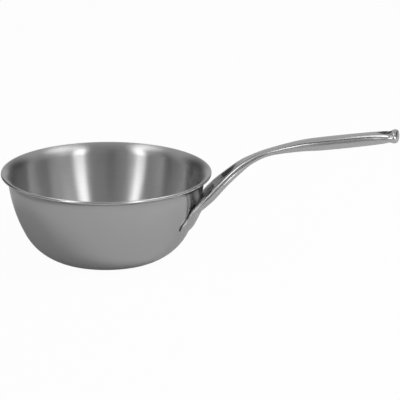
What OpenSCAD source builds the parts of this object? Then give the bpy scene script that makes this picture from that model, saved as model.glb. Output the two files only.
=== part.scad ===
// Saucier pan: a clad bowl with a flared pouring rim and one cast handle welded to its wall.
// Millimetres, +Z up. The origin is the centre of the underside of the base and the handle runs along +X.

/* [Bowl outside] */
// Radius of the flat underside of the base
base_r = 54.4; // [46:0.2:60]
// Radius of the corner that turns up from the base
corner_r = 8; // [5:0.5:20]
// Slope of the wall where the corner ends, in degrees from level
corner_turn = 23.05; // [18:0.05:32]
// Radius of the belly above the corner
belly_r = 55; // [45:1:70]
// Slope of the wall where the belly ends
belly_turn = 62; // [56:1:68]
// Radius of the long, nearly upright wall
wall_r = 150; // [120:5:190]
// Slope of the wall where the pouring rim begins
wall_turn = 83; // [80:1:86]
// Radius of the pouring rim's outward curl
flare_r = 10.5; // [7:0.5:14]
// Slope of the rim at its very edge
flare_turn = 20; // [10:1:35]

/* [Clad sheet, from outside to inside] */
// Outer ply, a stainless steel that works on induction hobs
outer_t = 0.5; // [0.3:0.05:0.8]
// Outer bonding ply, aluminium alloy
outer_bond_t = 0.3; // [0.2:0.05:0.5]
// Core ply, pure aluminium, which spreads the heat
core_t = 1.4; // [0.8:0.1:2.4]
// Inner bonding ply, aluminium alloy
inner_bond_t = 0.3; // [0.2:0.05:0.5]
// Cooking ply, stainless steel
cooking_t = 0.5; // [0.3:0.05:0.8]

/* [Handle foot on the wall] */
// Height of the foot's lowest edge above the table
foot_bottom = 35; // [32:1:39]
// Height at which the handle leaves the wall
foot_top = 58; // [54:1:62]
// Width of the foot at its widest, measured round the wall
foot_w = 84; // [68:1:88]
// Thickness of the foot where the handle leaves the wall
foot_t = 4.6; // [4:0.2:7]
// Thickness of the foot at its lowest edge
foot_edge_t = 1.6; // [1.2:0.1:3]
// Gap between the foot and the wall, which the welds bridge
foot_gap = 0.4; // [0.3:0.1:1]
// Diameter of each resistance weld between the foot and the wall
weld_d = 7; // [5:0.5:8]
// Distance of each weld from the handle's centre plane, measured round the wall
weld_side = 16; // [12:1:22]
// Height of the lower pair of welds
weld_low = 40; // [39:0.5:41]
// Height of the upper pair of welds
weld_high = 48; // [47:0.5:49]

/* [Handle side view] */
// Distance of the root's centre line outside the rim, where it passes the rim
root_out = 1; // [0:0.5:6]
// Depth of that place below the rim
root_drop = 17; // [14:1:24]
// Distance of the bend outside the rim
bend_out = 30; // [24:1:38]
// Height of the bend above the rim
bend_rise = 10.5; // [6:0.5:14]
// Distance of the neck outside the rim
neck_out = 61; // [54:1:70]
// Height of the neck above the rim
neck_rise = 27.8; // [22:0.2:32]
// Distance of the start of the grip outside the rim
grip_out = 92; // [84:1:100]
// Height of the start of the grip above the rim
grip_rise = 35.5; // [28:0.5:40]
// Distance of the handle's end outside the rim
end_out = 193; // [170:1:220]
// Height of the handle's end above the rim
end_rise = 50.2; // [40:0.2:58]

/* [Handle sections] */
// Width of the root, where its upper face is hollowed
root_w = 66; // [54:1:70]
// Thickness of the root
root_t = 13.5; // [9:0.5:16]
// Depth of the hollow in the root's upper face
scoop_d = 8; // [4:0.5:8.5]
// Width at the bend
bend_w = 34; // [26:1:40]
// Width of the neck
neck_w = 15.5; // [13:0.5:20]
// Thickness of the neck
neck_t = 6.8; // [4.5:0.1:8]
// Width of the grip
grip_w = 19.5; // [16:0.5:26]
// Thickness of the grip
grip_t = 12.6; // [8:0.2:15]
// Width of the end, across the hanging hole
end_w = 24; // [21:0.5:28]
// Thickness of the waist just before the end
waist_t = 9.4; // [7:0.2:12]
// Thickness of the end
end_t = 12.2; // [8:0.2:14]
// Length of the thicker end past the waist
end_len = 4.6; // [4:0.2:8]
// Thickness of metal round the hollow core of the grip
grip_wall = 2.2; // [1.8:0.2:3]

/* [Hanging hole] */
// Radius of the round part of the hole
hole_r = 6.2; // [4:0.1:7]
// Metal between the hole and the handle's end
hole_margin = 6; // [4:0.5:8]
// Length of the pointed part of the hole, from the centre of its round part
hole_point = 10.5; // [8.5:0.5:14]

/* [Hidden] */
// Facets round the bowl
$fn = 180;
// Points along each arc of the bowl's profile
arc_steps = 9;
// Points across the rounded rim edge of one ply
edge_steps = 4;
// Rings of the handle between two of its stations, and points round each ring
ring_steps = 4;
ring_points = 32;
// Squareness of the handle's sections: 2 is an ellipse and more is squarer
section_power = 2.6;
// Share of the half-width that the hollow covers
scoop_share = 0.88;
// Radius of the rounding at the handle's end
end_round = 3;
// Overrun of a cutting tool past what it cuts
over = 1;
// Half the angle of the hole's wall that the point takes away
point_angle = 40;

sheet_t = outer_t + outer_bond_t + core_t + inner_bond_t + cooking_t;

// Bowl profile. depth is measured inwards from the outside face, and the arcs stay tangent at any depth.
function arc_pts(cr, cz, r, a0, a1) =
    [for (i = [0:arc_steps]) let (a = a0 + (a1 - a0) * i / arc_steps) [cr + r * sin(a), cz - r * cos(a)]];
corner_c = [base_r, corner_r];
belly_c = corner_c + (corner_r - belly_r) * [sin(corner_turn), -cos(corner_turn)];
wall_c = belly_c + (belly_r - wall_r) * [sin(belly_turn), -cos(belly_turn)];
flare_c = wall_c + (wall_r + flare_r) * [sin(wall_turn), -cos(wall_turn)];
function skin(depth) = concat(
    [[0, depth]],
    arc_pts(corner_c[0], corner_c[1], corner_r - depth, 0, corner_turn),
    arc_pts(belly_c[0], belly_c[1], belly_r - depth, corner_turn, belly_turn),
    arc_pts(wall_c[0], wall_c[1], wall_r - depth, belly_turn, wall_turn),
    [for (i = [1:arc_steps]) let (a = wall_turn + (flare_turn - wall_turn) * i / arc_steps)
        flare_c - (flare_r + depth) * [sin(a), -cos(a)]]);
function rim_point(depth) = flare_c - (flare_r + depth) * [sin(flare_turn), -cos(flare_turn)]
    + sqrt(max(0, pow(sheet_t / 2, 2) - pow(depth - sheet_t / 2, 2))) * [cos(flare_turn), sin(flare_turn)];
function reversed(list) = [for (i = [len(list) - 1:-1:0]) list[i]];

rim_mid = flare_c - (flare_r + sheet_t / 2) * [sin(flare_turn), -cos(flare_turn)];
rim_r = rim_mid[0] + sheet_t / 2;
pan_h = rim_mid[1] + sheet_t / 2;

// One ply of the clad sheet, between two depths, with its share of the rounded rim edge
module ply(from, to) {
    edge = [for (i = [0:edge_steps]) rim_point(from + (to - from) * i / edge_steps)];
    rotate_extrude() polygon(concat(skin(from), edge, reversed(skin(to))));
}

module outer_ply() { color("silver") ply(0, outer_t); }
module outer_bond_ply() { color("lightgray") ply(outer_t, outer_t + outer_bond_t); }
module core_ply() { color("gainsboro") ply(outer_t + outer_bond_t, sheet_t - cooking_t - inner_bond_t); }
module inner_bond_ply() { color("lightgray") ply(sheet_t - cooking_t - inner_bond_t, sheet_t - cooking_t); }
module cooking_ply() { color("silver") ply(sheet_t - cooking_t, sheet_t); }

// Solid of revolution that fills the bowl and stands off its outside by a clearance
module bowl_envelope(clear) {
    rotate_extrude() polygon(concat([for (p = skin(-clear)) p], [[0, pan_h + over]]));
}

// Slope of the wall at a height, where the belly and the long wall are
function wall_slope(z) = z < belly_c[1] - belly_r * cos(belly_turn)
    ? acos((belly_c[1] - z) / belly_r) : acos((wall_c[1] - z) / wall_r);
function wall_out(z) = z < belly_c[1] - belly_r * cos(belly_turn)
    ? belly_c[0] + belly_r * sin(wall_slope(z)) : wall_c[0] + wall_r * sin(wall_slope(z));
// Point at a distance outside the wall's face at a height
function off_wall(z, d) = [wall_out(z), z] + d * [sin(wall_slope(z)), -cos(wall_slope(z))];

// Handle stations: centre line x and z, half width, rise above and drop below the centre line, hollow, bend
function station(p, w, up, down, scoop, bend) = [p[0], p[1], w / 2, up, down, scoop, bend];
function foot_thick(share) = foot_edge_t + (foot_t - foot_edge_t) * share;
function on_foot(share) =
    off_wall(foot_bottom + (foot_top - foot_bottom) * share, foot_gap + foot_thick(share) * 0.3);
grip_dir = [end_out - grip_out, end_rise - grip_rise];
function on_grip(share) = [rim_r + grip_out, pan_h + grip_rise] + share * grip_dir;
function from_end(back) = on_grip(1 - back / norm(grip_dir));
stations = [
    station(on_foot(0), foot_w * 0.36, foot_thick(0), foot_thick(0) * 0.45, 0, 1),
    station(on_foot(0.07), foot_w * 0.76, foot_thick(0.07) * 1.2, foot_thick(0.07) * 0.7, 0, 1),
    station(on_foot(0.20), foot_w * 0.98, foot_thick(0.20) * 1.2, foot_thick(0.20) * 0.7, 0, 1),
    station(on_foot(0.42), foot_w, foot_thick(0.42) * 1.2, foot_thick(0.42) * 0.7, 0, 1),
    station(on_foot(0.72), (foot_w + root_w) * 0.49, foot_thick(0.72) * 1.2, foot_thick(0.72) * 0.7, 0, 1),
    station(on_foot(1), root_w * 1.08, foot_t * 1.2, foot_t * 0.95, scoop_d * 0.5, 0.7),
    station([rim_r + root_out, pan_h - root_drop], root_w, root_t * 0.46, root_t * 0.54, scoop_d, 0.2),
    station([rim_r + (root_out + bend_out) / 2, pan_h + (bend_rise - root_drop) / 2 + 1], root_w * 0.78,
        root_t * 0.41, root_t * 0.44, scoop_d * 0.9, 0),
    station([rim_r + bend_out, pan_h + bend_rise], bend_w, (root_t + neck_t) / 4, (root_t + neck_t) / 4,
        scoop_d * 0.25, 0),
    station([rim_r + (bend_out * 0.6 + neck_out * 0.4), pan_h + bend_rise * 0.5 + neck_rise * 0.5],
        (bend_w * 0.42 + neck_w * 0.58), neck_t * 0.55, neck_t * 0.55, 0, 0),
    station([rim_r + neck_out, pan_h + neck_rise], neck_w, neck_t / 2, neck_t / 2, 0, 0),
    station(on_grip(0), (neck_w + grip_w) / 2, grip_t * 0.42, grip_t * 0.42, 0, 0),
    station(on_grip(0.25), grip_w, grip_t / 2, grip_t / 2, 0, 0),
    station(on_grip(0.65), grip_w, grip_t / 2, grip_t / 2, 0, 0),
    station(from_end(end_len * 3.5), (grip_w + end_w) / 2, (grip_t + waist_t) / 4, (grip_t + waist_t) / 4, 0, 0),
    station(from_end(end_len * 1.9), end_w * 0.95, waist_t / 2, waist_t / 2, 0, 0),
    station(from_end(end_len), end_w, end_t / 2, end_t / 2, 0, 0),
    station(on_grip(1), end_w, end_t / 2, end_t / 2, 0, 0)];
last_station = len(stations) - 1;

// Smooth curve through the stations, the same for the centre line and every size
function smooth(i, t) =
    let (a = stations[max(i - 1, 0)], b = stations[i], c = stations[i + 1], d = stations[min(i + 2, last_station)])
    0.5 * (2 * b + (c - a) * t + (2 * a - 5 * b + 4 * c - d) * t * t + (3 * b - a - 3 * c + d) * t * t * t);
path = concat([for (i = [0:last_station - 1], k = [0:ring_steps - 1]) smooth(i, k / ring_steps)],
    [stations[last_station]]);
last_ring = len(path) - 1;
function flat(row) = [row[0], row[1]];
function heading(i) =
    let (d = flat(path[min(i + 1, last_ring)]) - flat(path[max(i - 1, 0)])) d / norm(d);

// One ring: a rounded section square to the centre line, bent round the bowl's axis where it hugs the wall
function rounded(c) = sign(c) * pow(abs(c), 2 / section_power);
function hollow(v, w) = abs(v) < w * scoop_share ? pow(1 - pow(v / (w * scoop_share), 2), 2) : 0;
function bent(x, z, radius, v, n, up) =
    let (reach = radius + n * up[0], turn = v / radius * 180 / PI)
    [x - radius + reach * cos(turn), reach * sin(turn), z + n * up[1]];
function ring(row, dir, shrink, ahead) =
    let (up = [-dir[1], dir[0]], w = row[2] - shrink, radius = row[0] / max(row[6], 0.01))
    [for (j = [0:ring_points - 1])
        let (a = (j + 0.5) * 360 / ring_points, v = w * rounded(cos(a)),
            tall = (sin(a) > 0 ? row[3] : row[4]) - shrink,
            n = tall * rounded(sin(a)) - (sin(a) > 0 ? row[5] * hollow(v, w) : 0))
        bent(row[0] + dir[0] * ahead, row[1] + dir[1] * ahead, radius, v, n, up)];
end_rings = [for (a = [30, 60, 90]) ring(path[last_ring], heading(last_ring), end_round * (1 - cos(a)),
    end_round * sin(a) - end_round)];
function tip_point(i, ahead) = let (d = heading(i)) [path[i][0] + d[0] * ahead, 0, path[i][1] + d[1] * ahead];

// Closed skin over a run of rings, with a point in the middle of each end
module lofted(rings, first_tip, last_tip) {
    count = len(rings);
    points = concat([for (r = rings) each r], [first_tip, last_tip]);
    sides = [for (i = [0:count - 2], j = [0:ring_points - 1])
        let (a = i * ring_points + j, b = i * ring_points + (j + 1) % ring_points)
        each [[a, b + ring_points, b], [a, a + ring_points, b + ring_points]]];
    first_cap = [for (j = [0:ring_points - 1]) [j, (j + 1) % ring_points, count * ring_points]];
    top = (count - 1) * ring_points;
    last_cap = [for (j = [0:ring_points - 1]) [top + (j + 1) % ring_points, top + j, count * ring_points + 1]];
    polyhedron(points, concat(sides, first_cap, last_cap));
}

module handle_body() {
    rings = concat([for (i = [0:last_ring - 1]) if (norm(flat(path[last_ring]) - flat(path[i])) > end_round)
            ring(path[i], heading(i), 0, 0)],
        [ring(path[last_ring], heading(last_ring), 0, -end_round)], end_rings);
    lofted(rings, tip_point(0, 0), tip_point(last_ring, 0));
}

// Hollow core of the grip: the handle's own sections, drawn in by the metal round them
module grip_core() {
    core_end = hole_x - hole_point - grip_wall;
    rows = [for (i = [0:last_ring]) if (path[i][0] >= on_grip(0)[0] && path[i][0] <= core_end) i];
    lofted([for (i = rows) ring(path[i], heading(i), grip_wall, 0)], tip_point(rows[0], 0),
        tip_point(rows[len(rows) - 1], 0));
}

// Hanging hole, upright: a round bore with a point towards the bowl
hole_x = rim_r + end_out - hole_margin - hole_r;
hole_floor = pan_h + grip_rise - grip_t;
hole_h = end_rise - grip_rise + 2 * grip_t + end_t;
module hanging_hole() {
    notch = hole_r * [cos(point_angle), sin(point_angle)];
    translate([hole_x, 0, hole_floor]) {
        cylinder(r = hole_r, h = hole_h, $fn = 48);
        linear_extrude(hole_h) polygon([[0, 0], [-notch[0], notch[1]], [-hole_point, 0], [-notch[0], -notch[1]]]);
    }
}

module handle() {
    color("gainsboro") difference() {
        handle_body();
        bowl_envelope(foot_gap);
        hanging_hole();
        grip_core();
    }
}

// Resistance weld: a round nugget that fills the gap between the wall and the foot
module weld(side, z) {
    turn = side * weld_side / wall_out(z) * 180 / PI;
    color("darkgray") intersection() {
        difference() {
            bowl_envelope(foot_gap);
            bowl_envelope(0);
        }
        rotate([0, 0, turn]) translate([wall_out(z), 0, z]) rotate([0, 90 + 90 - wall_slope(z), 0])
            cylinder(d = weld_d, h = foot_t, center = true, $fn = 36);
    }
}
module weld_near_low() { weld(-1, weld_low); }
module weld_near_high() { weld(-1, weld_high); }
module weld_far_low() { weld(1, weld_low); }
module weld_far_high() { weld(1, weld_high); }

outer_ply();
outer_bond_ply();
core_ply();
inner_bond_ply();
cooking_ply();
handle();
weld_near_low();
weld_near_high();
weld_far_low();
weld_far_high();
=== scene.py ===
"""Saucier pan: a clad steel bowl with a flared pouring rim and one polished cast handle.

It stands in a plain light studio. Everything is in metres, +Z up. The bowl's axis is Z, the base rests on
z = 0 and the handle runs along +X.
"""

import math

import bmesh
import bpy
import numpy as np
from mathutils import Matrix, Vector


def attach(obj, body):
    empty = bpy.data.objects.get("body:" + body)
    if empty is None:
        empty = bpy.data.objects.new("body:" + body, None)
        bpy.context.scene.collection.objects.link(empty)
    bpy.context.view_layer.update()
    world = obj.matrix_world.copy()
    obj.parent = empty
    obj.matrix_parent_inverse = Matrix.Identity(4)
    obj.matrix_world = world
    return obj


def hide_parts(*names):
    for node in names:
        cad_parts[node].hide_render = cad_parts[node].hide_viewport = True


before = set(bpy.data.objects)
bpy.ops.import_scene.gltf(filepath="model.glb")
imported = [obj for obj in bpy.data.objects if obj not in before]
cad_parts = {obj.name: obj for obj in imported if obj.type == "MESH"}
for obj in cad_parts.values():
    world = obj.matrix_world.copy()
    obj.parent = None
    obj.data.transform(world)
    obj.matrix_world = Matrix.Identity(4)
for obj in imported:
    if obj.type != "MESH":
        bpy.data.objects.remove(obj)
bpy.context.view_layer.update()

MM = 0.001

# Sizes of the bowl, as the part has them
BASE_R = 54.4 * MM
CORNER_R = 8 * MM
CORNER_TURN = math.radians(23.05)
BELLY_R = 55 * MM
BELLY_TURN = math.radians(62)
WALL_R = 150 * MM
WALL_TURN = math.radians(83)
FLARE_R = 10.5 * MM
FLARE_TURN = math.radians(20)
OUTER_T = 0.5 * MM
OUTER_BOND_T = 0.3 * MM
CORE_T = 1.4 * MM
INNER_BOND_T = 0.3 * MM
COOKING_T = 0.5 * MM
SHEET_T = OUTER_T + OUTER_BOND_T + CORE_T + INNER_BOND_T + COOKING_T

# Sizes of the handle, outside and above the rim
FOOT_BOTTOM = 35 * MM
FOOT_TOP = 58 * MM
FOOT_W = 84 * MM
FOOT_T = 4.6 * MM
FOOT_EDGE_T = 1.6 * MM
FOOT_GAP = 0.4 * MM
ROOT_OUT = 1 * MM
ROOT_DROP = 17 * MM
BEND_OUT = 30 * MM
BEND_RISE = 10.5 * MM
NECK_OUT = 61 * MM
NECK_RISE = 27.8 * MM
GRIP_OUT = 92 * MM
GRIP_RISE = 35.5 * MM
END_OUT = 193 * MM
END_RISE = 50.2 * MM
ROOT_W = 66 * MM
ROOT_T = 13.5 * MM
SCOOP_D = 8 * MM
BEND_W = 34 * MM
NECK_W = 15.5 * MM
NECK_T = 6.8 * MM
GRIP_W = 19.5 * MM
GRIP_T = 12.6 * MM
END_W = 24 * MM
WAIST_T = 9.4 * MM
END_T = 12.2 * MM
END_LEN = 4.6 * MM
HOLE_R = 6.2 * MM
HOLE_MARGIN = 6 * MM
HOLE_POINT = 10.5 * MM
POINT_ANGLE = math.radians(40)

# Form of the handle's sections and of its ends, with the foot's sizes as shares of its thickness
SECTION_POWER = 2.6
SCOOP_SHARE = 0.88
FOOT_SEAT = 0.3
FOOT_RISE = 1.2
FOOT_DROP = 0.7
LEAST_BEND = 0.01
END_ROUND = 3 * MM
FOOT_ROUND = 0.5 * MM
HOLE_EDGE = 0.6 * MM

# How finely the pieces are cut
SPIN_STEPS = 216
ARC_STEPS = 12
EDGE_STEPS = 4
RING_STEPS = 10
RING_POINTS = 64
ROUND_TURNS = np.radians([90, 60, 30])
HOLE_FACETS = 72
HOLE_EDGE_STEPS = 3
DOUBLES = 0.001 * MM
SHADED_SHARP = math.radians(40)
EASED_ABOVE = math.radians(50)

# The camera, as the photograph was taken
CAMERA_TURN = math.radians(8)
CAMERA_DROP = math.radians(17.2)
CAMERA_DISTANCE = 4.128
CAMERA_ACROSS = 96.8 * MM
CAMERA_UP = -29.9 * MM
AIM_HEIGHT = 89.3 * MM
CAMERA_LENS = 360
CAMERA_SENSOR = 36
CAMERA_REACH = 100


# Bowl profile. Depth is measured inwards from the outside face, and the arcs stay tangent at any depth.
def turned(angle):
    return np.array([math.sin(angle), -math.cos(angle)])


CORNER_C = np.array([BASE_R, CORNER_R])
BELLY_C = CORNER_C + (CORNER_R - BELLY_R) * turned(CORNER_TURN)
WALL_C = BELLY_C + (BELLY_R - WALL_R) * turned(BELLY_TURN)
FLARE_C = WALL_C + (WALL_R + FLARE_R) * turned(WALL_TURN)
BELLY_TOP = BELLY_C[1] - BELLY_R * math.cos(BELLY_TURN)


def arc(centre, radius, start, end):
    return [centre + radius * turned(a) for a in np.linspace(start, end, ARC_STEPS + 1)]


def skin(depth):
    points = [np.array([0.0, depth])]
    points += arc(CORNER_C, CORNER_R - depth, 0, CORNER_TURN)
    points += arc(BELLY_C, BELLY_R - depth, CORNER_TURN, BELLY_TURN)[1:]
    points += arc(WALL_C, WALL_R - depth, BELLY_TURN, WALL_TURN)[1:]
    points += arc(FLARE_C, -(FLARE_R + depth), WALL_TURN, FLARE_TURN)[1:]
    return points


def rim_point(depth):
    half = SHEET_T / 2
    bulge = math.sqrt(max(0.0, half ** 2 - (depth - half) ** 2))
    along = np.array([math.cos(FLARE_TURN), math.sin(FLARE_TURN)])
    return FLARE_C - (FLARE_R + depth) * turned(FLARE_TURN) + bulge * along


RIM_MID = FLARE_C - (FLARE_R + SHEET_T / 2) * turned(FLARE_TURN)
RIM_R = RIM_MID[0] + SHEET_T / 2
PAN_H = RIM_MID[1] + SHEET_T / 2


# Making pieces
def loose_object(name, bm):
    mesh = bpy.data.meshes.new(name)
    bm.to_mesh(mesh)
    bm.free()
    thing = bpy.data.objects.new(name, mesh)
    bpy.context.scene.collection.objects.link(thing)
    return thing


def finish_piece(name, bm, paint, replaced):
    """Turns a bmesh into a named piece that rides on the pan and stands for the nodes it replaces."""
    piece = loose_object(name, bm)
    piece.data.polygons.foreach_set("use_smooth", [True] * len(piece.data.polygons))
    piece.data.set_sharp_from_angle(angle=SHADED_SHARP)
    piece.data.materials.append(paint)
    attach(piece, "root")
    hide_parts(*replaced)


def spun(points):
    """A closed outline in the XZ plane, spun once round the pan's axis."""
    bm = bmesh.new()
    corners = [bm.verts.new((p[0], 0, p[1])) for p in points]
    for a, b in zip(corners, corners[1:]):
        bm.edges.new((a, b))
    bmesh.ops.spin(bm, geom=bm.verts[:] + bm.edges[:], cent=(0, 0, 0), axis=(0, 0, 1), angle=math.tau,
                   steps=SPIN_STEPS, use_merge=True)
    bmesh.ops.remove_doubles(bm, verts=bm.verts[:], dist=DOUBLES)
    bmesh.ops.recalc_face_normals(bm, faces=bm.faces[:])
    return bm


def ply(start, end):
    """One ply of the clad sheet between two depths, with its share of the rounded rim edge."""
    edge = [rim_point(d) for d in np.linspace(start, end, EDGE_STEPS + 1)]
    return spun(skin(start) + edge + skin(end)[::-1])


# Handle. A station is the centre line's x and z, half the width, the rise, drop, hollow and bend.
def wall_arc(z):
    """Centre and radius of the arc that the outside of the wall follows at a height."""
    return (BELLY_C, BELLY_R) if z < BELLY_TOP else (WALL_C, WALL_R)


def off_wall(z, distance):
    centre, radius = wall_arc(z)
    return centre + (radius + distance) * turned(math.acos((centre[1] - z) / radius))


def station(centre, width, up, down, hollow=0.0, bend=0.0):
    return np.array([centre[0], centre[1], width / 2, up, down, hollow, bend])


def foot_thick(share):
    return FOOT_EDGE_T + (FOOT_T - FOOT_EDGE_T) * share


def on_foot(share):
    height = FOOT_BOTTOM + (FOOT_TOP - FOOT_BOTTOM) * share
    return off_wall(height, FOOT_GAP + foot_thick(share) * FOOT_SEAT)


def foot_station(share, width):
    thick = foot_thick(share)
    return station(on_foot(share), width, thick * FOOT_RISE, thick * FOOT_DROP, bend=1)


GRIP_START = np.array([RIM_R + GRIP_OUT, PAN_H + GRIP_RISE])
GRIP_RUN = np.array([END_OUT - GRIP_OUT, END_RISE - GRIP_RISE])


def on_grip(share):
    return GRIP_START + share * GRIP_RUN


def from_end(back):
    return on_grip(1 - back / np.linalg.norm(GRIP_RUN))


def past_rim(out, rise):
    return (RIM_R + out, PAN_H + rise)


STATIONS = [
    station(on_foot(0), FOOT_W * 0.36, foot_thick(0), foot_thick(0) * 0.45, bend=1),
    foot_station(0.07, FOOT_W * 0.76),
    foot_station(0.20, FOOT_W * 0.98),
    foot_station(0.42, FOOT_W),
    foot_station(0.72, (FOOT_W + ROOT_W) * 0.49),
    station(on_foot(1), ROOT_W * 1.08, FOOT_T * FOOT_RISE, FOOT_T * 0.95, SCOOP_D * 0.5, 0.7),
    station(past_rim(ROOT_OUT, -ROOT_DROP), ROOT_W, ROOT_T * 0.46, ROOT_T * 0.54, SCOOP_D, 0.2),
    station(past_rim((ROOT_OUT + BEND_OUT) / 2, (BEND_RISE - ROOT_DROP) / 2 + MM), ROOT_W * 0.78,
            ROOT_T * 0.41, ROOT_T * 0.44, SCOOP_D * 0.9),
    station(past_rim(BEND_OUT, BEND_RISE), BEND_W,
            (ROOT_T + NECK_T) / 4, (ROOT_T + NECK_T) / 4, SCOOP_D * 0.25),
    station(past_rim(BEND_OUT * 0.6 + NECK_OUT * 0.4, BEND_RISE * 0.5 + NECK_RISE * 0.5),
            BEND_W * 0.42 + NECK_W * 0.58, NECK_T * 0.55, NECK_T * 0.55),
    station(past_rim(NECK_OUT, NECK_RISE), NECK_W, NECK_T / 2, NECK_T / 2),
    station(on_grip(0), (NECK_W + GRIP_W) / 2, GRIP_T * 0.42, GRIP_T * 0.42),
    station(on_grip(0.25), GRIP_W, GRIP_T / 2, GRIP_T / 2),
    station(on_grip(0.65), GRIP_W, GRIP_T / 2, GRIP_T / 2),
    station(from_end(END_LEN * 3.5), (GRIP_W + END_W) / 2, (GRIP_T + WAIST_T) / 4, (GRIP_T + WAIST_T) / 4),
    station(from_end(END_LEN * 1.9), END_W * 0.95, WAIST_T / 2, WAIST_T / 2),
    station(from_end(END_LEN), END_W, END_T / 2, END_T / 2),
    station(on_grip(1), END_W, END_T / 2, END_T / 2)]


def smooth_rows():
    """Rows along one smooth curve through the stations."""
    last = len(STATIONS) - 1
    rows = []
    for i in range(last):
        a, b, c, d = (STATIONS[min(max(i + k, 0), last)] for k in (-1, 0, 1, 2))
        for t in np.arange(RING_STEPS) / RING_STEPS:
            rows.append(0.5 * (2 * b + (c - a) * t + (2 * a - 5 * b + 4 * c - d) * t * t
                               + (3 * b - a - 3 * c + d) * t ** 3))
    return rows + [STATIONS[last]]


def rounded(share):
    return math.copysign(abs(share) ** (2 / SECTION_POWER), share)


def hollow_at(v, half):
    reach = half * SCOOP_SHARE
    return (1 - (v / reach) ** 2) ** 2 if abs(v) < reach else 0.0


def clear_of_wall(point):
    """The nearest place to a point that stands off the bowl's outside by the foot's gap."""
    if point.z > PAN_H - ROOT_DROP:
        return point
    out = math.hypot(point.x, point.y)
    centre, radius = wall_arc(point.z)
    away = np.array([out, point.z]) - centre
    distance = np.linalg.norm(away)
    if distance >= radius + FOOT_GAP:
        return point
    moved = centre + away / distance * (radius + FOOT_GAP)
    return Vector((point.x * moved[0] / out, point.y * moved[0] / out, moved[1]))


def section(row, heading, shrink=0.0, ahead=0.0):
    """One ring of the handle, square to the centre line and bent round the bowl where it hugs the wall."""
    x, z, half, rise, drop, hollow, bend = row
    half -= shrink
    radius = x / max(bend, LEAST_BEND)
    up = (-heading[1], heading[0])
    ring = []
    for j in range(RING_POINTS):
        angle = (j + 0.5) * math.tau / RING_POINTS
        v = half * rounded(math.cos(angle))
        upper = math.sin(angle) > 0
        n = ((rise if upper else drop) - shrink) * rounded(math.sin(angle))
        n -= hollow * hollow_at(v, half) if upper else 0.0
        reach = radius + n * up[0]
        ring.append(clear_of_wall(Vector((
            x + heading[0] * ahead - radius + reach * math.cos(v / radius),
            reach * math.sin(v / radius),
            z + heading[1] * ahead + n * up[1]))))
    return ring


def handle_rings():
    rows = smooth_rows()
    centres = [row[:2] for row in rows]
    last = len(rows) - 1
    headings = [centres[min(i + 1, last)] - centres[max(i - 1, 0)] for i in range(last + 1)]
    headings = [h / np.linalg.norm(h) for h in headings]
    rings = [section(rows[0], headings[0],
                     FOOT_ROUND * (1 - math.cos(a)), FOOT_ROUND * (1 - math.sin(a)))
             for a in ROUND_TURNS]
    rings += [section(rows[i], headings[i]) for i in range(1, last)
              if np.linalg.norm(centres[last] - centres[i]) > END_ROUND
              and np.linalg.norm(centres[i] - centres[0]) > FOOT_ROUND]
    rings.append(section(rows[last], headings[last], 0, -END_ROUND))
    rings += [section(rows[last], headings[last],
                      END_ROUND * (1 - math.cos(a)), END_ROUND * (math.sin(a) - 1))
              for a in ROUND_TURNS[::-1]]
    return rings


def lofted(rings):
    """A ring grown along the handle and moved to each section in turn, with both ends closed."""
    bm = bmesh.new()
    verts = bmesh.ops.create_circle(bm, segments=RING_POINTS, radius=1)["verts"]
    for vert, place in zip(verts, rings[0]):
        vert.co = place
    edges = bm.edges[:]
    first = edges
    for ring in rings[1:]:
        order = {vert: j for j, vert in enumerate(verts)}
        grown = bmesh.ops.extrude_edge_only(bm, edges=edges)["geom"]
        fresh = [g for g in grown if isinstance(g, bmesh.types.BMVert)]
        edges = [g for g in grown if isinstance(g, bmesh.types.BMEdge)]
        verts = [None] * RING_POINTS
        for vert in fresh:
            j = next(order[e.other_vert(vert)] for e in vert.link_edges if e.other_vert(vert) in order)
            verts[j] = vert
            vert.co = ring[j]
    for rim in (first, edges):
        cap = bmesh.ops.edgeloop_fill(bm, edges=rim)["faces"]
        bmesh.ops.poke(bm, faces=cap)
    bmesh.ops.recalc_face_normals(bm, faces=bm.faces[:])
    if bm.calc_volume(signed=True) < 0:
        bmesh.ops.reverse_faces(bm, faces=bm.faces[:])
    return bm


HOLE_X = RIM_R + END_OUT - HOLE_MARGIN - HOLE_R
HOLE_Z = PAN_H + END_RISE


def hole_cutter():
    """A round plug with a point towards the bowl, longer than the handle is thick."""
    bm = bmesh.new()
    plug = bmesh.ops.create_circle(bm, cap_ends=True, segments=HOLE_FACETS, radius=HOLE_R)["verts"]
    notch = math.pi - POINT_ANGLE
    for vert in plug:
        turn = math.atan2(vert.co.y, vert.co.x)
        if abs(turn) > notch:
            share = (math.pi - abs(turn)) / POINT_ANGLE
            vert.co.x = -HOLE_POINT + share * (HOLE_POINT - HOLE_R * math.cos(POINT_ANGLE))
            vert.co.y = math.copysign(share * HOLE_R * math.sin(POINT_ANGLE), turn)
    bmesh.ops.translate(bm, verts=bm.verts[:], vec=(HOLE_X, 0, HOLE_Z - 2 * GRIP_T))
    body = bmesh.ops.extrude_face_region(bm, geom=bm.faces[:], use_keep_orig=True)["geom"]
    raised = [g for g in body if isinstance(g, bmesh.types.BMVert)]
    bmesh.ops.translate(bm, verts=raised, vec=(0, 0, 4 * GRIP_T))
    bmesh.ops.recalc_face_normals(bm, faces=bm.faces[:])
    return bm


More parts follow.
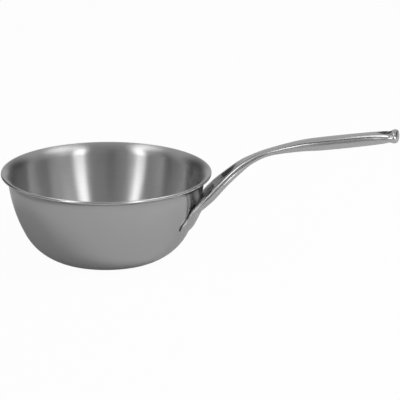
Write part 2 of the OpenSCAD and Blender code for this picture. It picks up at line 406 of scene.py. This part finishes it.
def drilled(body_bm, cutter_bm):
    """The body with the cutter taken out of it, and the hole's edges eased."""
    body = loose_object("uncut_body", body_bm)
    cutter = loose_object("cutter", cutter_bm)
    cut = body.modifiers.new("hole", "BOOLEAN")
    cut.operation = "DIFFERENCE"
    cut.solver = "EXACT"
    cut.object = cutter
    seen = body.evaluated_get(bpy.context.evaluated_depsgraph_get())
    bm = bmesh.new()
    bm.from_mesh(seen.to_mesh())
    for thing in (body, cutter):
        bpy.data.objects.remove(thing)
    hole_reach = HOLE_POINT + MM
    mouth = [e for e in bm.edges if len(e.link_faces) == 2 and e.calc_face_angle() > EASED_ABOVE
             and all(math.hypot(v.co.x - HOLE_X, v.co.y) < hole_reach for v in e.verts)]
    bmesh.ops.bevel(bm, geom=mouth, offset=HOLE_EDGE, offset_type="OFFSET", segments=HOLE_EDGE_STEPS,
                    profile=0.5, affect="EDGES", clamp_overlap=True, material=-1)
    return bm


# Shades, and the colour sockets of a Mix node
WHITE = (1, 1, 1, 1)
MIX_DARK = 6
MIX_LIGHT = 7
MIX_RESULT = 2


def grey(level):
    return (level, level, level)


# Shader maths: an expression on flowing numbers adds its own Math nodes
class Flow:
    def __init__(self, paint, socket):
        self.paint = paint
        self.socket = socket

    def __add__(self, other):
        return self.paint.maths("ADD", self, other)

    def __radd__(self, other):
        return self.paint.maths("ADD", other, self)

    def __sub__(self, other):
        return self.paint.maths("SUBTRACT", self, other)

    def __rsub__(self, other):
        return self.paint.maths("SUBTRACT", other, self)

    def __mul__(self, other):
        return self.paint.maths("MULTIPLY", self, other)

    def __rmul__(self, other):
        return self.paint.maths("MULTIPLY", other, self)

    def __truediv__(self, other):
        return self.paint.maths("DIVIDE", self, other)


class Paint:
    """A node tree under construction, for a material or the world."""

    def __init__(self, tree):
        self.tree = tree

    def node(self, kind, settings=None, inputs=None):
        node = self.tree.nodes.new(kind)
        for name, value in (settings or {}).items():
            setattr(node, name, value)
        for name, value in (inputs or {}).items():
            self.feed(node.inputs[name], value)
        return node

    def feed(self, socket, value):
        if isinstance(value, Flow):
            value = value.socket
        if isinstance(value, bpy.types.NodeSocket):
            self.tree.links.new(value, socket)
        else:
            socket.default_value = value

    def flow(self, node, output):
        return Flow(self, node.outputs[output])

    def maths(self, operation, first, second=0.0):
        node = self.node("ShaderNodeMath", {"operation": operation}, {0: first, 1: second})
        return self.flow(node, 0)

    def eased(self, value, low, high):
        node = self.node("ShaderNodeMapRange", {"interpolation_type": "SMOOTHSTEP"},
                         {"Value": value, "From Min": low, "From Max": high})
        return self.flow(node, "Result")

    def white_share(self, to_camera, to_mirrors):
        """How much plain white a ray sees: one from the camera, and one off metal or through glass."""
        path = self.node("ShaderNodeLightPath")
        mirrors = self.flow(path, "Is Glossy Ray") + self.flow(path, "Is Transmission Ray")
        return self.flow(path, "Is Camera Ray") * to_camera + mirrors * to_mirrors

    def shades(self, factor, dark, light):
        node = self.node("ShaderNodeMix", {"data_type": "RGBA"},
                         {"Factor": factor, MIX_DARK: (*dark, 1), MIX_LIGHT: (*light, 1)})
        return node.outputs[MIX_RESULT]


# Finishes. The gloss is turned by a share of a full turn, and all worked marks have one kind of noise.
QUARTER_TURN = 0.25
AXIS_MARGIN = 0.1 * MM
MARK_DETAIL = 4.0
MARK_ROUGHNESS = 0.6


class Metal(Paint):
    """A metal finish: one Principled shader, whose varying sockets are fed afterwards."""

    def __init__(self, name, colour, roughness, anisotropy=0.0):
        self.material = bpy.data.materials.new(name)
        self.material.use_nodes = True
        super().__init__(self.material.node_tree)
        self.shader = self.tree.nodes["Principled BSDF"]
        self.feed(self.shader.inputs["Base Color"], (*colour, 1))
        self.feed(self.shader.inputs["Metallic"], 1.0)
        self.feed(self.shader.inputs["Roughness"], roughness)
        self.feed(self.shader.inputs["Anisotropic"], anisotropy)
        self.feed(self.shader.inputs["Anisotropic Rotation"], QUARTER_TURN)
        place = self.node("ShaderNodeTexCoord")
        self.place = place.outputs["Object"]
        parts = self.node("ShaderNodeSeparateXYZ", inputs={"Vector": self.place})
        self.x, self.y, self.z = (self.flow(parts, axis) for axis in "XYZ")

    def noise(self, vector, scale, detail=3.0, roughness=0.5):
        node = self.node("ShaderNodeTexNoise", inputs={
            "Vector": vector, "Scale": scale, "Detail": detail, "Roughness": roughness})
        return self.flow(node, 0)

    def turned_marks(self, scale, stretch):
        """Noise drawn out round the pan's axis, as a polishing wheel leaves it."""
        out = self.maths("SQRT", self.x * self.x + self.y * self.y)
        bearing_x = self.x / (out + AXIS_MARGIN) * stretch
        bearing_y = self.y / (out + AXIS_MARGIN) * stretch
        along = (out + self.z) * scale
        vector = self.node("ShaderNodeCombineXYZ", inputs={"X": bearing_x, "Y": bearing_y, "Z": along})
        return self.noise(vector.outputs[0], 1.0, MARK_DETAIL, MARK_ROUGHNESS)

    def long_marks(self, scale, stretch):
        """Noise drawn out along the handle."""
        vector = self.node("ShaderNodeCombineXYZ", inputs={
            "X": self.x * stretch, "Y": self.y * scale, "Z": self.z * stretch * 3})
        return self.noise(vector.outputs[0], 1.0, MARK_DETAIL, MARK_ROUGHNESS)

    def bump(self, height, strength, distance):
        node = self.node("ShaderNodeBump", inputs={
            "Height": height, "Strength": strength, "Distance": distance})
        self.feed(self.shader.inputs["Normal"], node.outputs["Normal"])

    def vary(self, colour, roughness):
        self.feed(self.shader.inputs["Base Color"], colour)
        self.feed(self.shader.inputs["Roughness"], roughness)


def inside_steel():
    metal = Metal("brushed_inside_steel", grey(0.60), roughness=0.3, anisotropy=1.0)
    marks = metal.turned_marks(scale=9000, stretch=3)
    bands = metal.turned_marks(scale=500, stretch=1.5)
    metal.vary(metal.shades(marks * 0.5 + bands * 0.5, dark=grey(0.52), light=grey(0.66)),
               0.25 + marks * 0.06 + bands * 0.04)
    metal.bump(marks, strength=0.15, distance=0.02 * MM)
    return metal.material


def outside_steel():
    metal = Metal("satin_outside_steel", grey(0.58), roughness=0.2, anisotropy=0.3)
    marks = metal.turned_marks(scale=5000, stretch=4)
    clouds = metal.noise(metal.place, scale=18)
    metal.vary(metal.shades(marks * 0.5 + clouds * 0.5, dark=grey(0.52), light=grey(0.62)),
               0.15 + marks * 0.06 + clouds * 0.06)
    metal.bump(marks, strength=0.08, distance=0.02 * MM)
    return metal.material


def handle_steel():
    metal = Metal("polished_handle_steel", grey(0.60), roughness=0.14)
    marks = metal.long_marks(scale=2600, stretch=60)
    clouds = metal.noise(metal.place, scale=60)
    metal.vary(metal.shades(marks * 0.5 + clouds * 0.5, dark=grey(0.55), light=grey(0.65)),
               0.13 + marks * 0.07 + clouds * 0.05)
    metal.bump(clouds * 0.8 + marks * 0.2, strength=0.1, distance=0.05 * MM)
    return metal.material


def rim_aluminium():
    metal = Metal("turned_rim_aluminium", (0.66, 0.66, 0.67), roughness=0.2)
    marks = metal.turned_marks(scale=12000, stretch=2)
    metal.vary(metal.shades(marks, dark=(0.56, 0.56, 0.57), light=(0.72, 0.72, 0.73)), 0.14 + marks * 0.12)
    metal.bump(marks, strength=0.2, distance=0.02 * MM)
    return metal.material


def weld_steel():
    metal = Metal("dull_weld_steel", grey(0.3), roughness=0.5)
    grain = metal.noise(metal.place, scale=1500, detail=4.0)
    metal.vary(metal.shades(grain, dark=(0.2, 0.19, 0.18), light=(0.4, 0.39, 0.38)), 0.4 + grain * 0.2)
    metal.bump(grain, strength=0.4, distance=0.05 * MM)
    return metal.material


INSIDE = inside_steel()
OUTSIDE = outside_steel()
HANDLE = handle_steel()
RIM = rim_aluminium()
WELD = weld_steel()

# The bowl, ply by ply from outside to inside
PLIES = [
    ("outer_ply", OUTER_T, OUTSIDE, "outside_steel"),
    ("outer_bond_ply", OUTER_BOND_T, RIM, "bond_aluminium"),
    ("core_ply", CORE_T, RIM, "core_aluminium"),
    ("inner_bond_ply", INNER_BOND_T, RIM, "bond_aluminium"),
    ("cooking_ply", COOKING_T, INSIDE, "inside_steel")]
depth = 0.0
for node, thickness, paint, slot in PLIES:
    finish_piece("smooth_" + node, ply(depth, depth + thickness), paint, [node])
    depth += thickness

handle_body = drilled(lofted(handle_rings()), hole_cutter())
finish_piece("cast_handle", handle_body, HANDLE, ["handle"])

for name in ("weld_near_low", "weld_near_high", "weld_far_low", "weld_far_high"):
    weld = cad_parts[name]
    weld.data.materials.clear()
    weld.data.materials.append(WELD)


# The studio: how bright its parts are, and the shares of plain white that the camera and the metal see
FRONT_LEVEL = 0.28
BACK_LOW_LEVEL = 0.03
HIGH_LEVEL = 0.5
ZENITH_LEVEL = 0.3
STRIP_LEVEL = 3.2
PALE_LEVEL = 0.75
DARK_LEVEL = 0.12
BLACK_LEVEL = 0.02
BOX_LEVEL = 2.0
KEY_LEVEL = 8.4
FILL_LEVEL = 0.8
FLOOR_PALE = 0.52
FLOOR_WHITE = 0.97
FLOOR_MIRRORED = 0.06
ROOM_WHITE = 1.0
ROOM_MIRRORED = 0.02

# Where the room's parts lie, in degrees. Bearing 0 is towards the camera and positive is to its right.
HIGH_SIDES_OUT = (80, 120)
HIGH_SIDES_UP = (12, 36)
LOW_BACK_OUT = (112, 156)
LOW_BACK_UP = (22, 42)
STRAIGHT_BACK_OUT = (152, 166)
ZENITH_UP = (50, 60)
ZENITH_OUT = (60, 90)
DARK_AHEAD = (-11, 1)
DARK_LEFT = (-88, -74)
PALE_RIGHT = (36, 64)
PALE_LEFT = (-36, -28)
BLACK_LEFT = (-84, -38)
STRIP_LEFT = (-48, -36)
STRIP_RIGHT = (28, 42)
PATCH_FOOT = -20

# Sizes in the studio
FLOOR_R = 4.0
FLOOR_SIDES = 96
BOX_HEIGHT = 0.59
GLOSSY_BOUNCES = 12


def studio_floor():
    bm = bmesh.new()
    bmesh.ops.create_circle(bm, cap_ends=True, segments=FLOOR_SIDES, radius=FLOOR_R)
    floor = loose_object("studio_floor", bm)
    material = bpy.data.materials.new("pale_floor")
    material.use_nodes = True
    paint = Paint(material.node_tree)
    paint.tree.nodes.clear()
    matt = paint.node("ShaderNodeBsdfDiffuse", inputs={"Color": (*grey(FLOOR_PALE), 1)})
    glow = paint.node("ShaderNodeEmission", inputs={"Color": WHITE, "Strength": 1.0})
    blend = paint.node("ShaderNodeMixShader", inputs={
        "Fac": paint.white_share(FLOOR_WHITE, FLOOR_MIRRORED), 1: matt.outputs[0], 2: glow.outputs[0]})
    output = paint.node("ShaderNodeOutputMaterial")
    paint.feed(output.inputs["Surface"], blend.outputs[0])
    floor.data.materials.append(material)


def aimed(thing, place, target):
    thing.location = place
    thing.rotation_euler = (Vector(target) - Vector(place)).to_track_quat("-Z", "Y").to_euler()


def around(bearing, distance, height):
    turn = CAMERA_TURN + math.radians(bearing) - math.pi / 2
    return (distance * math.cos(turn), distance * math.sin(turn), height)


def area_lamp(name, level, width, depth):
    lamp = bpy.data.lights.new(name, "AREA")
    lamp.shape = "RECTANGLE"
    lamp.size = width
    lamp.size_y = depth
    lamp.energy = level * math.pi * width * depth
    thing = bpy.data.objects.new(name, lamp)
    bpy.context.scene.collection.objects.link(thing)
    thing.visible_camera = False
    return thing


def floor_lamp(name, level, bearing, distance, height, size):
    """A soft lamp that lights the floor and throws the pan's shadow, and that the metal doesn't mirror."""
    lamp = area_lamp(name, level, size, size)
    lamp.visible_glossy = False
    aimed(lamp, around(bearing, distance, height), around(bearing, distance / 3, 0))


def overhead_box(name, across, nearer, width, depth):
    """A softbox, level over the pan, that the lip and the handle mirror."""
    lamp = area_lamp(name, BOX_LEVEL, width, depth)
    lamp.visible_diffuse = False
    lamp.location = (across * math.cos(CAMERA_TURN) + nearer * math.sin(CAMERA_TURN),
                     across * math.sin(CAMERA_TURN) - nearer * math.cos(CAMERA_TURN), BOX_HEIGHT)
    lamp.rotation_euler = (0, 0, CAMERA_TURN)


class Surround(Paint):
    """The studio round the pan, painted by bearing and elevation."""

    def __init__(self, tree):
        super().__init__(tree)
        self.tree.nodes.clear()
        place = self.node("ShaderNodeTexCoord")
        parts = self.node("ShaderNodeSeparateXYZ", inputs={"Vector": place.outputs["Generated"]})
        x, y, z = (self.flow(parts, axis) for axis in "XYZ")
        across = x * math.cos(CAMERA_TURN) + y * math.sin(CAMERA_TURN)
        nearer = x * math.sin(CAMERA_TURN) - y * math.cos(CAMERA_TURN)
        self.bearing = self.maths("DEGREES", self.maths("ARCTAN2", across, nearer))
        self.elevation = self.maths("DEGREES", self.maths("ARCSINE", z))

    def window(self, value, low, high, soft):
        return self.eased(value, low - soft, low + soft) * (1 - self.eased(value, high - soft, high + soft))

    def patch(self, bearings, top, bottom=PATCH_FOOT, soft=2.0, lift=6.0):
        """1 inside a patch of the surround and 0 outside it, with soft sides and a soft top and bottom."""
        return self.window(self.bearing, *bearings, soft) * self.window(self.elevation, bottom, top, lift)

    def over(self, under, level, mask):
        return under + (level - under) * mask


def studio_world():
    """A grey room with white windows for the metal to mirror, and plain white for the camera."""
    world = bpy.data.worlds.new("studio")
    bpy.context.scene.world = world
    world.use_nodes = True
    room = Surround(world.node_tree)
    sideways = room.maths("ABSOLUTE", room.bearing)
    high_sides = room.eased(sideways, *HIGH_SIDES_OUT) * room.eased(room.elevation, *HIGH_SIDES_UP)
    below_back = 1 - room.eased(room.elevation, *LOW_BACK_UP)
    low_back = room.window(sideways, *LOW_BACK_OUT, soft=10) * below_back
    straight_back = room.eased(sideways, *STRAIGHT_BACK_OUT)
    zenith = room.eased(room.elevation, *ZENITH_UP) * (1 - room.eased(sideways, *ZENITH_OUT))
    level = FRONT_LEVEL + (HIGH_LEVEL - FRONT_LEVEL) * high_sides
    level = room.over(level, BACK_LOW_LEVEL, low_back)
    level = room.over(level, HIGH_LEVEL, straight_back)
    level = room.over(level, DARK_LEVEL, room.patch(DARK_AHEAD, top=30))
    level = room.over(level, DARK_LEVEL, room.patch(DARK_LEFT, top=40))
    level = room.over(level, PALE_LEVEL, room.patch(PALE_RIGHT, top=34))
    level = room.over(level, PALE_LEVEL, room.patch(PALE_LEFT, top=34, soft=4))
    level = room.over(level, ZENITH_LEVEL, zenith)
    level = room.over(level, BLACK_LEVEL, room.patch(BLACK_LEFT, top=71, bottom=51, soft=4, lift=2))
    level = room.over(level, STRIP_LEVEL, room.patch(STRIP_LEFT, top=50))
    level = room.over(level, STRIP_LEVEL, room.patch(STRIP_RIGHT, top=50))
    shown = room.node("ShaderNodeBackground", inputs={"Color": WHITE, "Strength": level})
    white = room.node("ShaderNodeBackground", inputs={"Color": WHITE, "Strength": 1.0})
    blend = room.node("ShaderNodeMixShader", inputs={
        "Fac": room.white_share(ROOM_WHITE, ROOM_MIRRORED), 1: shown.outputs[0], 2: white.outputs[0]})
    output = room.node("ShaderNodeOutputWorld")
    room.feed(output.inputs["Surface"], blend.outputs[0])


def studio_camera():
    across = Vector((math.cos(CAMERA_TURN), math.sin(CAMERA_TURN), 0))
    level_run = math.cos(CAMERA_DROP)
    ahead = Vector((-math.sin(CAMERA_TURN) * level_run, math.cos(CAMERA_TURN) * level_run,
                    -math.sin(CAMERA_DROP)))
    upward = across.cross(ahead)
    camera = bpy.data.objects.new("camera", bpy.data.cameras.new("camera"))
    bpy.context.scene.collection.objects.link(camera)
    aim = Vector((0, 0, AIM_HEIGHT))
    camera.location = aim - CAMERA_DISTANCE * ahead + CAMERA_ACROSS * across + CAMERA_UP * upward
    camera.rotation_euler = ahead.to_track_quat("-Z", "Y").to_euler()
    camera.data.lens = CAMERA_LENS
    camera.data.sensor_width = CAMERA_SENSOR
    camera.data.clip_end = CAMERA_REACH
    bpy.context.scene.camera = camera


studio_floor()
studio_world()
floor_lamp("key", KEY_LEVEL, bearing=75, distance=1.2, height=1.1, size=0.8)
floor_lamp("fill", FILL_LEVEL, bearing=0, distance=0.5, height=0.6, size=0.4)
overhead_box("right_box", across=0.28, nearer=-0.06, width=0.25, depth=0.28)
overhead_box("left_box", across=-0.21, nearer=-0.05, width=0.15, depth=0.34)
studio_camera()
bpy.context.scene.view_settings.view_transform = "Standard"
bpy.context.scene.cycles.glossy_bounces = GLOSSY_BOUNCES
